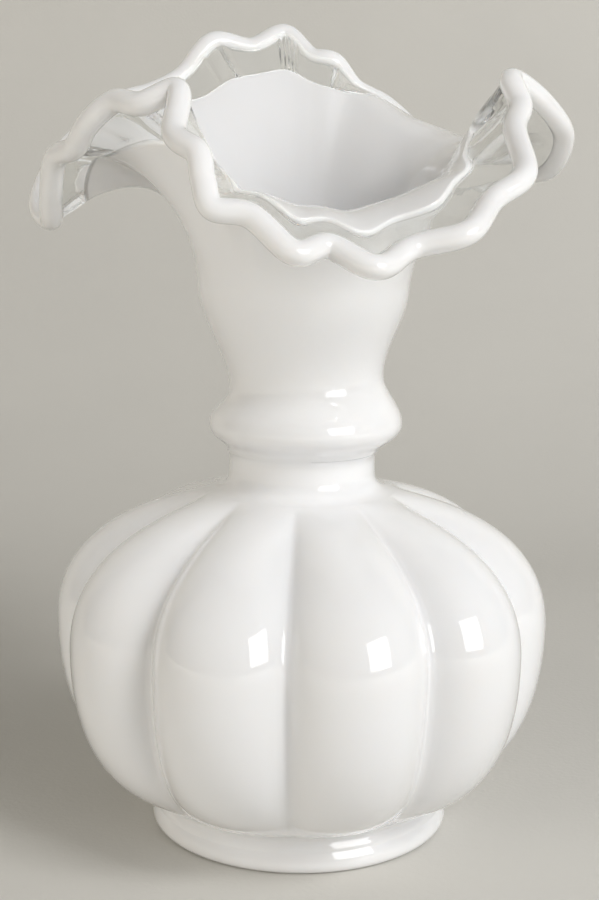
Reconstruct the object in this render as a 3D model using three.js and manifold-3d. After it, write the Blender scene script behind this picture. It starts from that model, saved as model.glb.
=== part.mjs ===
// A crimped vase of white glass: a foot, a melon-ribbed bowl with a short neck, a collared
// trumpet whose mouth is ruffled and crimped by hand, a band of clear glass along the mouth
// and a round white edge on the band.
// Millimetres, +Z up. The origin is the middle of the foot's underside, on the table.
// The three high folds of the mouth stand at the back, at the right and at the front left,
// and -Y is the front.

import * as THREE from "three";
import { mergeVertices } from "three/addons/utils/BufferGeometryUtils.js";
import Module from "manifold-3d";

const wasm = await Module();
wasm.setup();

// Foot: a disc with rounded edges and a shallow recess that leaves a ring to stand on.
const footRadius = 37;
const footHeight = 8.8;
const footTopRound = 3.5;
const footBottomRound = 2;
const recessRadius = 29;
const recessDepth = 2.5;
const recessDraft = 1;

// Bowl: heights are steps up from the place below. Radii are those of a rib's crown.
const bowlRadius = 60.8;
const equatorRise = 42;
const shoulderRise = 34.6;
const neckRise = 8.4;
const neckRadius = 17.7;
const neckFillet = 6.5;
const bowlWall = 3.8;
const underside = 12.5 * (Math.PI / 180);
const undersideReach = 20.4;
const lowerReach = 20.3;
const upperReach = 18.9;
const shoulderReach = 22.4;
const shoulderSlope = 14 * (Math.PI / 180);

// Ribs: rounded lobes between grooves, fading out at the foot and at the neck.
const ribCount = 10;
const ribDepth = 7.5;
const ribDepthInside = 4;
const ribRoundness = 0.88;
const ribFadeFoot = 1.1;
const ribFadeNeck = 0.8;
const firstGroove = 15 * (Math.PI / 180);

// Trumpet, up to its throat: a collar that overhangs the neck, a waist and a widening throat.
const collarRadius = 23.2;
const collarRise = 6.6;
const collarUnderside = 40 * (Math.PI / 180);
const collarReach = 4;
const waistRadius = 18.6;
const waistReach = 7.2;
const waistRise = 10.6;
const waistTilt = 1.5;
const throatRadius = 25.3;
const throatRise = 21.5;
const throatSpread = 0.09;
const collarLean = 0.8;
const mouthWall = 3;

// Mouth: a low lobe rolls over in a long arc, and a high fold stands up and only its edge
// bends over. The mouth leans up towards the back.
const throatPullShare = 0.36;
const lobePull = 32;
const foldPull = 6.5;
const lobeSlope = -34 * (Math.PI / 180);
const foldSlope = -5 * (Math.PI / 180);
const mouthLean = 13.4;
const ruffleHeight = 26.5;
const crimpDepthPower = 4.5;

// Edge: the white edge is thickest at the front, and the clear band is widest on the high
// folds. A gap keeps each fused pair of glasses apart.
const edgeRadius = 2.45;
const edgeRadiusSwing = 0.2;
const clearBand = 11;
const clearBandSwing = 2;
const clearWall = 2.8;
const fusedGap = 0.3;

// The white edge's centre line, as the maker left it: azimuth in degrees from +X, then how
// far it reaches past rimReach and how far it rises over rimRise.
const rimReach = 57;
const rimRise = 34.8;
const rimPoints = [
  [2.5, -1, 10],
  [13, 8, 3],
  [22, 11.3, -4],
  [30, 12.6, -6.5],
  [39, 9, -5],
  [48, 11, -2.5],
  [59, 6, 2],
  [69.5, 5.2, 11],
  [77, 2, 15.5],
  [82, -3, 22],
  [88.5, -3, 23.5],
  [95.5, 0.2, 29.5],
  [105.5, -3, 25.5],
  [117.5, -4, 26.5],
  [127, -4, 17.5],
  [136.5, -3, 13],
  [146, 0.5, 10],
  [155, 2, 4.5],
  [165, 6.5, -5],
  [174.5, 7, -15],
  [181, 3, -18.5],
  [187, 2.5, -13],
  [195, 1.5, -4.5],
  [202.5, -1.5, -2],
  [210, -2.5, 3],
  [217.5, -5.5, 7.5],
  [226.5, -6.5, 7],
  [235, -10.5, 9.5],
  [240, -3.5, 0.5],
  [247, -1.5, -3.5],
  [249, 0, -9],
  [251.5, 1, -14.5],
  [259, -1, -16],
  [268, 1, -23],
  [275.5, -3, -22],
  [285, 0.6, -26],
  [295.5, -5, -22.5],
  [306.5, 0.5, -19],
  [316, -1.5, -12.5],
  [325.5, 0.5, -7],
  [336, -6, 2.5],
  [345, -6.5, 8],
  [352, -9, 14],
];

// How finely each surface is cut.
const footSides = 40;
const columnsPerRib = 6;
const columnsPerRimPoint = 2;
const bowlSteps = 7;
const roundSteps = 3;
const throatSteps = 4;
const mouthSteps = 7;
const bandSteps = 2;
const edgeSides = 8;

// Heights over the table.
const equatorZ = footHeight + equatorRise;
const shoulderZ = equatorZ + shoulderRise;
const seamZ = shoulderZ + neckRise;
const collarZ = seamZ + collarRise;
const waistZ = collarZ + waistRise;
const throatZ = waistZ + throatRise;

const boreRadius = neckRadius - bowlWall;
const seatRadius = footRadius - footTopRound;

function smooth(x) {
  const t = Math.min(Math.max(x, 0), 1);
  return t * t * (3 - 2 * t);
}

// A closed body's triangles as a solid for cutting.
function solidFrom(geometry) {
  const bare = geometry.clone();
  bare.deleteAttribute("normal");
  bare.deleteAttribute("uv");
  const merged = mergeVertices(bare, 1e-4);
  const mesh = new wasm.Mesh({
    numProp: 3,
    vertProperties: merged.getAttribute("position").array,
    triVerts: new Uint32Array(merged.index.array),
  });
  return new wasm.Manifold(mesh);
}

function geometryFrom(solid) {
  const mesh = solid.getMesh();
  const geometry = new THREE.BufferGeometry();
  geometry.setAttribute("position", new THREE.BufferAttribute(mesh.vertProperties, 3));
  geometry.setIndex(new THREE.BufferAttribute(mesh.triVerts, 1));
  geometry.computeVertexNormals();
  return geometry;
}

function geometryOf(points, triangles) {
  const geometry = new THREE.BufferGeometry().setFromPoints(points);
  geometry.setIndex(triangles);
  geometry.computeVertexNormals();
  return geometry;
}

// Joins closed sections that stand side by side all the way round into one ring-shaped body.
// Each four-cornered face is cut along its shorter diagonal.
function ringBody(sections) {
  const size = sections[0].length;
  const points = sections.flat();
  const triangles = [];
  for (let i = 0; i < sections.length; i++) {
    const next = ((i + 1) % sections.length) * size;
    for (let k = 0; k < size; k++) {
      const up = (k + 1) % size;
      const a = i * size + k;
      const b = next + k;
      const c = next + up;
      const d = i * size + up;
      if (points[a].distanceTo(points[c]) < points[b].distanceTo(points[d])) {
        triangles.push(a, b, c, a, c, d);
      } else {
        triangles.push(a, b, d, b, c, d);
      }
    }
  }
  return geometryOf(points, triangles);
}

// Stacks level-topped rings, each a closed loop seen anticlockwise from above, and caps both ends.
function stackedBody(rings) {
  const size = rings[0].length;
  const points = rings.flat();
  const triangles = [];
  for (let i = 0; i + 1 < rings.length; i++) {
    for (let k = 0; k < size; k++) {
      const beside = (k + 1) % size;
      const a = i * size + k;
      const b = i * size + beside;
      triangles.push(a, b, b + size, a, b + size, a + size);
    }
  }
  const bottom = points.push(new THREE.Vector3(0, 0, rings[0][0].z)) - 1;
  const top = points.push(new THREE.Vector3(0, 0, rings[rings.length - 1][0].z)) - 1;
  const last = (rings.length - 1) * size;
  for (let k = 0; k < size; k++) {
    const beside = (k + 1) % size;
    triangles.push(bottom, beside, k);
    triangles.push(top, last + k, last + beside);
  }
  return geometryOf(points, triangles);
}

// Foot

function footGeometry() {
  const outline = new THREE.Path();
  const flat = recessRadius + recessDraft;
  outline.moveTo(0, recessDepth);
  outline.lineTo(recessRadius, recessDepth);
  outline.lineTo(flat, 0);
  outline.lineTo(footRadius - footBottomRound, 0);
  const edgeLow = footRadius - footBottomRound;
  outline.absarc(edgeLow, footBottomRound, footBottomRound, -Math.PI / 2, 0, false);
  outline.absarc(seatRadius, footHeight - footTopRound, footTopRound, 0, Math.PI / 2, false);
  outline.lineTo(0, footHeight);
  const profile = outline.getPoints(roundSteps);
  return new THREE.LatheGeometry(profile, footSides).rotateX(Math.PI / 2);
}

// Bowl

// The crown line of a rib from the foot to the seam, with its outward normal. In ribs, 0 is
// the plain glass at the foot and at the neck, and 1 the fully ribbed glass between them.
function bowlLine() {
  const low = new THREE.CubicBezierCurve(
    new THREE.Vector2(seatRadius, footHeight),
    new THREE.Vector2(
      seatRadius + undersideReach * Math.cos(underside),
      footHeight + undersideReach * Math.sin(underside),
    ),
    new THREE.Vector2(bowlRadius, equatorZ - lowerReach),
    new THREE.Vector2(bowlRadius, equatorZ),
  );
  const filletX = neckRadius + neckFillet;
  const filletZ = shoulderZ + neckFillet * Math.cos(shoulderSlope);
  const shoulderX = filletX - neckFillet * Math.sin(shoulderSlope);
  const high = new THREE.CubicBezierCurve(
    new THREE.Vector2(bowlRadius, equatorZ),
    new THREE.Vector2(bowlRadius, equatorZ + upperReach),
    new THREE.Vector2(
      shoulderX + shoulderReach * Math.cos(shoulderSlope),
      shoulderZ - shoulderReach * Math.sin(shoulderSlope),
    ),
    new THREE.Vector2(shoulderX, shoulderZ),
  );
  const filletStart = -Math.PI / 2 - shoulderSlope;
  const fillet = new THREE.EllipseCurve(
    filletX, filletZ, neckFillet, neckFillet, filletStart, -Math.PI, true,
  );
  const stations = [];
  const take = (curve, steps, first, ribs) => {
    for (let i = first; i <= steps; i++) {
      const t = i / steps;
      const tangent = curve.getTangent(t);
      const normal = new THREE.Vector2(tangent.y, -tangent.x);
      stations.push({ point: curve.getPoint(t), normal, ribs: ribs(t) });
    }
  };
  take(low, bowlSteps, 0, (t) => Math.sin((Math.PI * t) / 2) ** ribFadeFoot);
  take(high, bowlSteps, 1, (t) => Math.cos((Math.PI * t) / 2) ** ribFadeNeck);
  take(fillet, roundSteps, 1, () => 0);
  return stations;
}

// How far round its bulge a rib stands at an azimuth: 0 in a groove and 1 on a crown.
function ribBulge(azimuth) {
  const turn = ((azimuth - firstGroove) * ribCount) / (2 * Math.PI);
  const across = 2 * (turn - Math.floor(turn)) - 1;
  const groove = Math.sqrt(1 - ribRoundness ** 2);
  return (Math.sqrt(1 - (ribRoundness * across) ** 2) - groove) / (1 - groove);
}

// One loop round the bowl: a station's crown point drawn in along its normal, by depth in
// the grooves and by crownDepth on the crowns.
function bowlRing(station, depth, crownDepth) {
  const ring = [];
  const columns = ribCount * columnsPerRib;
  for (let k = 0; k < columns; k++) {
    const azimuth = firstGroove + (2 * Math.PI * k) / columns;
    const inset = depth + (crownDepth - depth) * ribBulge(azimuth);
    const radius = station.point.x - station.normal.x * inset;
    const height = station.point.y - station.normal.y * inset;
    ring.push(new THREE.Vector3(radius * Math.cos(azimuth), radius * Math.sin(azimuth), height));
  }
  return ring;
}

function bowlGeometry() {
  const line = bowlLine();
  const outside = line.map((s) => bowlRing(s, ribDepth * s.ribs, 0));
  const inside = line.map((s) => {
    const grooveInset = bowlWall + ribDepth * s.ribs;
    return bowlRing(s, grooveInset, grooveInset - ribDepthInside * s.ribs);
  });
  const neckEnd = { point: new THREE.Vector2(neckRadius, seamZ), normal: new THREE.Vector2(1, 0) };
  const past = { point: new THREE.Vector2(neckRadius, seamZ + bowlWall), normal: neckEnd.normal };
  outside.push(bowlRing(neckEnd, 0, 0));
  inside.push(bowlRing(past, bowlWall, bowlWall));
  const cavity = solidFrom(stackedBody(inside));
  return geometryFrom(solidFrom(stackedBody(outside)).subtract(cavity));
}

// Trumpet

// The outside of the collar, waist and throat, from the seam upwards, as radius and height.
// The waist is higher at the right, where toRight is 1, than at the left, where it is -1.
function collarLine(toRight) {
  const under = collarRise / 2;
  const fullness = (collarRadius - neckRadius) / 2;
  const waist = waistZ + waistTilt * toRight;
  const widening = (throatZ - waist) / 3;
  const curves = [
    new THREE.CubicBezierCurve(
      new THREE.Vector2(neckRadius, seamZ),
      new THREE.Vector2(
        neckRadius + fullness * Math.cos(collarUnderside),
        seamZ + fullness * Math.sin(collarUnderside),
      ),
      new THREE.Vector2(collarRadius, collarZ - under),
      new THREE.Vector2(collarRadius, collarZ),
    ),
    new THREE.CubicBezierCurve(
      new THREE.Vector2(collarRadius, collarZ),
      new THREE.Vector2(collarRadius, collarZ + collarReach),
      new THREE.Vector2(waistRadius, waist - waistReach),
      new THREE.Vector2(waistRadius, waist),
    ),
    new THREE.CubicBezierCurve(
      new THREE.Vector2(waistRadius, waist),
      new THREE.Vector2(waistRadius, waist + widening),
      new THREE.Vector2(throatRadius - throatSpread * widening, throatZ - widening),
      new THREE.Vector2(throatRadius, throatZ),
    ),
  ];
  return curves.flatMap((curve, i) => curve.getPoints(throatSteps).slice(i === 0 ? 0 : 1));
}

// How far the collar stands off the axis at a height, towards +X.
function collarOffset(height) {
  const share = Math.min(Math.max((height - seamZ) / (waistZ - seamZ), 0), 1);
  return collarLean * Math.sin(Math.PI * share);
}

// Out of the throat's wall, square to it.
const throatNormal = new THREE.Vector2(1, -throatSpread).normalize();
const throatAlong = new THREE.Vector2(throatSpread, 1).normalize();

function throatPoint(inset) {
  return new THREE.Vector2(throatRadius, throatZ).addScaledVector(throatNormal, -inset);
}

// The inside of the collar, waist and throat, from the throat downwards.
function boreLine() {
  const top = throatPoint(mouthWall);
  const rise = top.y - seamZ;
  const curve = new THREE.CubicBezierCurve(
    top,
    top.clone().addScaledVector(throatAlong, -rise / 3),
    new THREE.Vector2(boreRadius, seamZ + rise / 2),
    new THREE.Vector2(boreRadius, seamZ),
  );
  return curve.getPoints(throatSteps + 1);
}

const rimVectors = rimPoints.map(([azimuth, out, up]) => {
  const angle = azimuth * (Math.PI / 180);
  const reach = rimReach + out;
  const height = throatZ + rimRise + up;
  return new THREE.Vector3(reach * Math.cos(angle), reach * Math.sin(angle), height);
});

// The same loop with each point drawn half way to its neighbours, which takes the crimps out.
const ruffleVectors = rimVectors.map((point, i, all) => {
  const before = all[(i + all.length - 1) % all.length];
  const after = all[(i + 1) % all.length];
  return before.clone().add(after).multiplyScalar(0.5).lerp(point, 0.5);
});

const rimCurve = new THREE.CatmullRomCurve3(rimVectors, true, "catmullrom", 0.5);
const ruffleCurve = new THREE.CatmullRomCurve3(ruffleVectors, true, "catmullrom", 0.5);
const rimColumns = rimPoints.length * columnsPerRimPoint;

function around(u) {
  return ((u % 1) + 1) % 1;
}

// 0 in a low lobe of the ruffle and 1 on a high fold.
function foldShare(ruffle) {
  const middle = throatZ + rimRise + (mouthLean * ruffle.y) / Math.hypot(ruffle.x, ruffle.y);
  return smooth(0.5 + (ruffle.z - middle) / ruffleHeight);
}

// The middle of the mouth's glass before it is crimped: u goes once round the rim, and t from
// the throat to the rim.
function ruffledPoint(u, t) {
  const ruffle = ruffleCurve.getPoint(around(u));
  const reach = Math.hypot(ruffle.x, ruffle.y);
  const share = foldShare(ruffle);
  const slope = lobeSlope + (foldSlope - lobeSlope) * share;
  const edgePull = lobePull + (foldPull - lobePull) * share;
  const start = throatPoint(mouthWall / 2);
  const end = new THREE.Vector2(reach, ruffle.z);
  const throatPull = throatPullShare * start.distanceTo(end);
  const meridian = new THREE.CubicBezierCurve(
    start,
    start.clone().addScaledVector(throatAlong, throatPull),
    new THREE.Vector2(reach - edgePull * Math.cos(slope), ruffle.z - edgePull * Math.sin(slope)),
    end,
  ).getPoint(t);
  return new THREE.Vector3(
    (meridian.x * ruffle.x) / reach,
    (meridian.x * ruffle.y) / reach,
    meridian.y,
  );
}

// The middle of the mouth's glass once it is crimped.
function mouthPoint(u, t) {
  const crimp = rimCurve.getPoint(around(u)).sub(ruffleCurve.getPoint(around(u)));
  return ruffledPoint(u, t).addScaledVector(crimp, t ** crimpDepthPower);
}

// Square to the mouth's glass, out of the side that faces outwards and down.
function mouthNormal(u, t) {
  const stepU = 0.2 / rimPoints.length;
  const stepT = 0.02;
  const high = Math.min(t + stepT, 1);
  const round = mouthPoint(u + stepU, t).sub(mouthPoint(u - stepU, t));
  const along = mouthPoint(u, high).sub(mouthPoint(u, high - 2 * stepT));
  return round.cross(along).normalize();
}

// The place t on a column that lies a distance short of the rim, along the uncrimped glass.
function tBelowRim(u, distance) {
  const steps = 60;
  let walked = 0;
  let last = ruffledPoint(u, 1);
  for (let i = steps - 1; i >= 0; i--) {
    const point = ruffledPoint(u, i / steps);
    const step = point.distanceTo(last);
    if (walked + step >= distance) {
      return (i + 1 - (distance - walked) / step) / steps;
    }
    walked += step;
    last = point;
  }
  return 0;
}

// The columns round the rim: each one's place u, the place t where its white glass ends, and
// the middle of the glass and its normal there.
const columns = Array.from({ length: rimColumns }, (_, i) => {
  const u = i / rimColumns;
  const share = foldShare(ruffleCurve.getPoint(u));
  const end = tBelowRim(u, clearBand + clearBandSwing * (2 * share - 1));
  return { u, end, seam: mouthPoint(u, end), normal: mouthNormal(u, end) };
});

// From the end of a column's white glass, square to the seam's run and on towards the rim.
function pastSeam(i) {
  const before = columns[(i + rimColumns - 1) % rimColumns].seam;
  const after = columns[(i + 1) % rimColumns].seam;
  const run = after.clone().sub(before);
  return columns[i].normal.clone().cross(run).normalize();
}

function trumpetGeometry() {
  const inner = boreLine();
  const sections = columns.map(({ u, end }) => {
    const ruffle = ruffleCurve.getPoint(u);
    const reach = Math.hypot(ruffle.x, ruffle.y);
    const outer = collarLine(ruffle.x / reach);
    const place = (p) => new THREE.Vector3((p.x * ruffle.x) / reach, (p.x * ruffle.y) / reach, p.y);
    const lean = (v) => v.setX(v.x + collarOffset(v.z));
    const under = [];
    const over = [];
    for (let i = 1; i <= mouthSteps; i++) {
      const t = (end * i) / mouthSteps;
      const middle = mouthPoint(u, t);
      const half = mouthNormal(u, t).multiplyScalar(mouthWall / 2);
      under.push(middle.clone().add(half));
      over.unshift(middle.clone().sub(half));
    }
    return [...outer.map(place).map(lean), ...under, ...over, ...inner.map(place)];
  });
  return ringBody(sections);
}

// Clear band and white edge

// Directions at the rim, square to its run: out of the glass, and on past its edge.
function rimFrame(u) {
  const run = rimCurve.getTangent(around(u));
  const normal = mouthNormal(u, 1);
  normal.addScaledVector(run, -normal.dot(run)).normalize();
  return { normal, past: normal.clone().cross(run).normalize() };
}

// The white edge's radius at a place on its centre line.
function edgeRadiusAt(centre) {
  return edgeRadius - (edgeRadiusSwing * centre.y) / Math.hypot(centre.x, centre.y);
}

function clearBandGeometry() {
  const half = clearWall / 2;
  const sections = columns.map(({ u, seam, normal: seamNormal }, column) => {
    const { normal, past } = rimFrame(u);
    const start = seam.clone().addScaledVector(pastSeam(column), fusedGap);
    const centre = rimCurve.getPoint(u);
    const end = centre.clone().addScaledVector(past, -edgeRadiusAt(centre) - fusedGap);
    const under = [];
    const over = [];
    for (let i = 0; i <= bandSteps; i++) {
      const share = i / bandSteps;
      const middle = start.clone().lerp(end, share);
      const out = seamNormal.clone().lerp(normal, share).normalize();
      under.push(middle.clone().addScaledVector(out, half));
      over.unshift(middle.clone().addScaledVector(out, -half));
    }
    return [...under, ...over];
  });
  return ringBody(sections);
}

function whiteEdgeGeometry() {
  const sections = columns.map(({ u }) => {
    const { normal, past } = rimFrame(u);
    const centre = rimCurve.getPoint(u);
    const radius = edgeRadiusAt(centre);
    return Array.from({ length: edgeSides }, (_, k) => {
      const angle = (2 * Math.PI * k) / edgeSides;
      return centre
        .clone()
        .addScaledVector(normal, radius * Math.cos(angle))
        .addScaledVector(past, radius * Math.sin(angle));
    });
  });
  return ringBody(sections);
}

// Assembly

const milkGlass = new THREE.MeshStandardMaterial({ color: 0xf1efec, roughness: 0.12, metalness: 0 });
const clearGlass = new THREE.MeshStandardMaterial({ color: 0xdfe4e2, roughness: 0.05, metalness: 0 });
clearGlass.transparent = true;
clearGlass.opacity = 0.35;

const vase = new THREE.Group();

function addPiece(name, geometry, material) {
  const piece = new THREE.Mesh(geometry, material);
  piece.name = name;
  vase.add(piece);
}

addPiece("foot", footGeometry(), milkGlass.clone());
addPiece("ribbed_bowl", bowlGeometry(), milkGlass.clone());
addPiece("ruffled_trumpet", trumpetGeometry(), milkGlass.clone());
addPiece("clear_band", clearBandGeometry(), clearGlass);
addPiece("white_edge", whiteEdgeGeometry(), milkGlass.clone());

export default vase;
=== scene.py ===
"""A crimped vase of milk glass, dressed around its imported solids.

The foot, the ribbed bowl and the ruffled trumpet are white milk glass. A band of clear
glass runs along the mouth, and a round white edge on the band. Metres, +Z up, and -Y is
the front, where the camera stands.
"""

import logging
import math
from dataclasses import dataclass, field
from enum import Enum

import bmesh
import bpy
import numpy as np
from mathutils import Matrix, Vector, noise


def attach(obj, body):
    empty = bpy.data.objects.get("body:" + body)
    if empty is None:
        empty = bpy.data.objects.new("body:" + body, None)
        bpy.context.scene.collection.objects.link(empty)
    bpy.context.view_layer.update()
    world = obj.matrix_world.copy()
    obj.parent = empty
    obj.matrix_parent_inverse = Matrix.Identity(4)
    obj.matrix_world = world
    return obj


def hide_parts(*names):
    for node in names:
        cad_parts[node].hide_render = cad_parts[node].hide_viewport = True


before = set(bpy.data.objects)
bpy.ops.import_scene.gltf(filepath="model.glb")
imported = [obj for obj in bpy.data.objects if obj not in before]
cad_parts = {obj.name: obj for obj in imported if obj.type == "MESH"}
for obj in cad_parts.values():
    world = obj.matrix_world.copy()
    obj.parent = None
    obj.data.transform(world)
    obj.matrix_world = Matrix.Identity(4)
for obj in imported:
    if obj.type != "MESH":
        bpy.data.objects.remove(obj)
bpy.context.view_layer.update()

LOG = logging.getLogger("crimped_vase")
MM = 0.001
BODY = "root"
SEED = 11
Colour = tuple[float, float, float]
Place = tuple[float, float, float]
WHITE: Colour = (1, 1, 1)
WARM: Colour = (1, 0.95, 0.86)


# Curves


def bezier(points: list, t: np.ndarray) -> np.ndarray:
    """Gives places on a cubic curve.

    Args:
        points: Four control points, each a pair of numbers or of arrays shaped like t.
        t: The places along the curve, 0 to 1.

    Returns:
        The points, with the pair as the last axis.
    """
    a, b, c, d = (np.stack(np.broadcast_arrays(p[0], p[1], t)[:2], -1) for p in points)
    t = np.asarray(t)[..., None]
    s = 1 - t
    return a * s**3 + 3 * b * s**2 * t + 3 * c * s * t**2 + d * t**3


def smooth(x: np.ndarray) -> np.ndarray:
    """Eases from 0 to 1 as x goes from 0 to 1."""
    t = np.clip(x, 0, 1)
    return t * t * (3 - 2 * t)


def unit(vectors: np.ndarray) -> np.ndarray:
    """Scales vectors to length one."""
    return vectors / np.linalg.norm(vectors, axis=-1, keepdims=True)


def arc(centre: np.ndarray, radius: float, start: float, end: float, steps: int) -> np.ndarray:
    """Gives the points of an arc between two angles."""
    turn = np.linspace(start, end, steps)
    return np.asarray(centre) + radius * np.stack([np.cos(turn), np.sin(turn)], -1)


def all_round(count: int, whole: float = 1) -> np.ndarray:
    """Gives evenly spread places all the way round, from 0 to just short of the whole."""
    return np.linspace(0, whole, count, endpoint=False)


def side_normals(line: np.ndarray) -> np.ndarray:
    """Gives the normals on the right-hand side of a line of (radius, height) pairs."""
    run = unit(np.gradient(line, axis=0))
    return np.stack([run[:, 1], -run[:, 0]], -1)


@dataclass(frozen=True)
class ClosedCurve:
    """A smooth closed curve through its knots.

    Attributes:
        knots: The points it passes through, one row each.
    """

    knots: np.ndarray

    def at(self, u: np.ndarray) -> np.ndarray:
        """Gives points on the curve.

        Args:
            u: The places along the curve. It closes at 1.

        Returns:
            The points, with x, y and z as the last axis.
        """
        count = len(self.knots)
        place = (np.asarray(u) % 1) * count
        index = np.floor(place).astype(int)
        w = (place - index)[..., None]
        before, here, after, beyond = (self.knots[(index + k) % count] for k in (-1, 0, 1, 2))
        leave = (after - before) / 2
        arrive = (beyond - here) / 2
        bend = 3 * (after - here) - 2 * leave - arrive
        twist = 2 * (here - after) + leave + arrive
        return here + leave * w + bend * w**2 + twist * w**3

    def relaxed(self) -> "ClosedCurve":
        """Draws each knot half way to its neighbours."""
        beside = (np.roll(self.knots, 1, 0) + np.roll(self.knots, -1, 0)) / 2
        return ClosedCurve((self.knots + beside) / 2)


# Meshes


def ring_grid(bm: bmesh.types.BMesh, sections: np.ndarray, close_section: bool) -> list:
    """Adds sections that stand side by side all the way round.

    Args:
        bm: The mesh to add to.
        sections: Points by section, by place in the section, by axis.
        close_section: Whether each section's last point joins its first.

    Returns:
        The vertices, by section and by place.
    """
    rows = [[bm.verts.new(point) for point in section] for section in sections.tolist()]
    size = len(rows[0])
    steps = size if close_section else size - 1
    for i, row in enumerate(rows):
        beside = rows[(i + 1) % len(rows)]
        for k in range(steps):
            up = (k + 1) % size
            bm.faces.new((row[k], beside[k], beside[up], row[up]))
    return rows


def cap(bm: bmesh.types.BMesh, loop: list, centre: tuple) -> None:
    """Closes a loop of vertices with a fan of triangles round a centre point."""
    middle = bm.verts.new(centre)
    for k, vertex in enumerate(loop):
        bm.faces.new((vertex, loop[(k + 1) % len(loop)], middle))


def lathe_sections(profile: np.ndarray, azimuths: np.ndarray) -> np.ndarray:
    """Turns (radius, height) pairs, one row for all azimuths or for each, round the Z axis."""
    turn = azimuths[:, None]
    across = profile[..., 0] * np.cos(turn)
    depth = profile[..., 0] * np.sin(turn)
    return np.stack([across, depth, np.broadcast_to(profile[..., 1], across.shape)], -1)


@dataclass(frozen=True)
class HandWork:
    """The slow unevenness that hand work leaves in hot glass.

    It is the same for all pieces that share it, so they still meet, and it fades out
    towards the table.

    Attributes:
        depth: How far the glass strays, at most, in metres.
        scale: How many swells there are to a metre.
        seed: Which unevenness it is.
        ground: The height over which it grows to its full depth.
    """

    depth: float
    scale: float
    seed: float
    ground: float = 9 * MM

    def shift(self, place: Vector) -> Vector:
        """Says how far the glass has strayed at a place."""
        start = Vector((self.seed, -self.seed, 2 * self.seed))
        swell = noise.noise_vector(place * self.scale + start)
        return swell * self.depth * min(max(place.z / self.ground, 0), 1)


BLOWN = HandWork(0.35 * MM, 26, 3.1)
DRAWN = HandWork(0.25 * MM, 90, 1.9)
SHARP = math.radians(60)


def finished(
    name: str,
    bm: bmesh.types.BMesh,
    material: bpy.types.Material,
    *works: HandWork,
) -> bpy.types.Object:
    """Turns a closed mesh into an object of the scene.

    Args:
        name: The piece's name.
        bm: The closed mesh, which is used up.
        material: Its finish.
        works: The unevenness to give it.

    Returns:
        The new object.
    """
    bmesh.ops.recalc_face_normals(bm, faces=bm.faces)
    for vertex in bm.verts:
        vertex.co += sum((work.shift(vertex.co) for work in works), Vector((0, 0, 0)))
    bm.normal_update()
    for face in bm.faces:
        face.smooth = True
    for edge in bm.edges:
        edge.smooth = edge.calc_face_angle(0) < SHARP
    mesh = bpy.data.meshes.new(name)
    bm.to_mesh(mesh)
    bm.free()
    mesh.materials.append(material)
    piece = bpy.data.objects.new(name, mesh)
    bpy.context.scene.collection.objects.link(piece)
    return piece


def settle(piece: bpy.types.Object, slot: "Slot", *nodes: str) -> None:
    """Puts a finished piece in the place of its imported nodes.

    Args:
        piece: The piece.
        slot: The record's material slot for the piece. It is not used.
        nodes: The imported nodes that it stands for.
    """
    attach(piece, BODY)
    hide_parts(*nodes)
    LOG.info("%s: %d faces", piece.name, len(piece.data.polygons))


# Shader maths


class Slot(Enum):
    """The record's material slots."""

    MILK = "milk_glass"
    CLEAR = "clear_glass"
    EDGE = "white_edge_glass"


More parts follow.
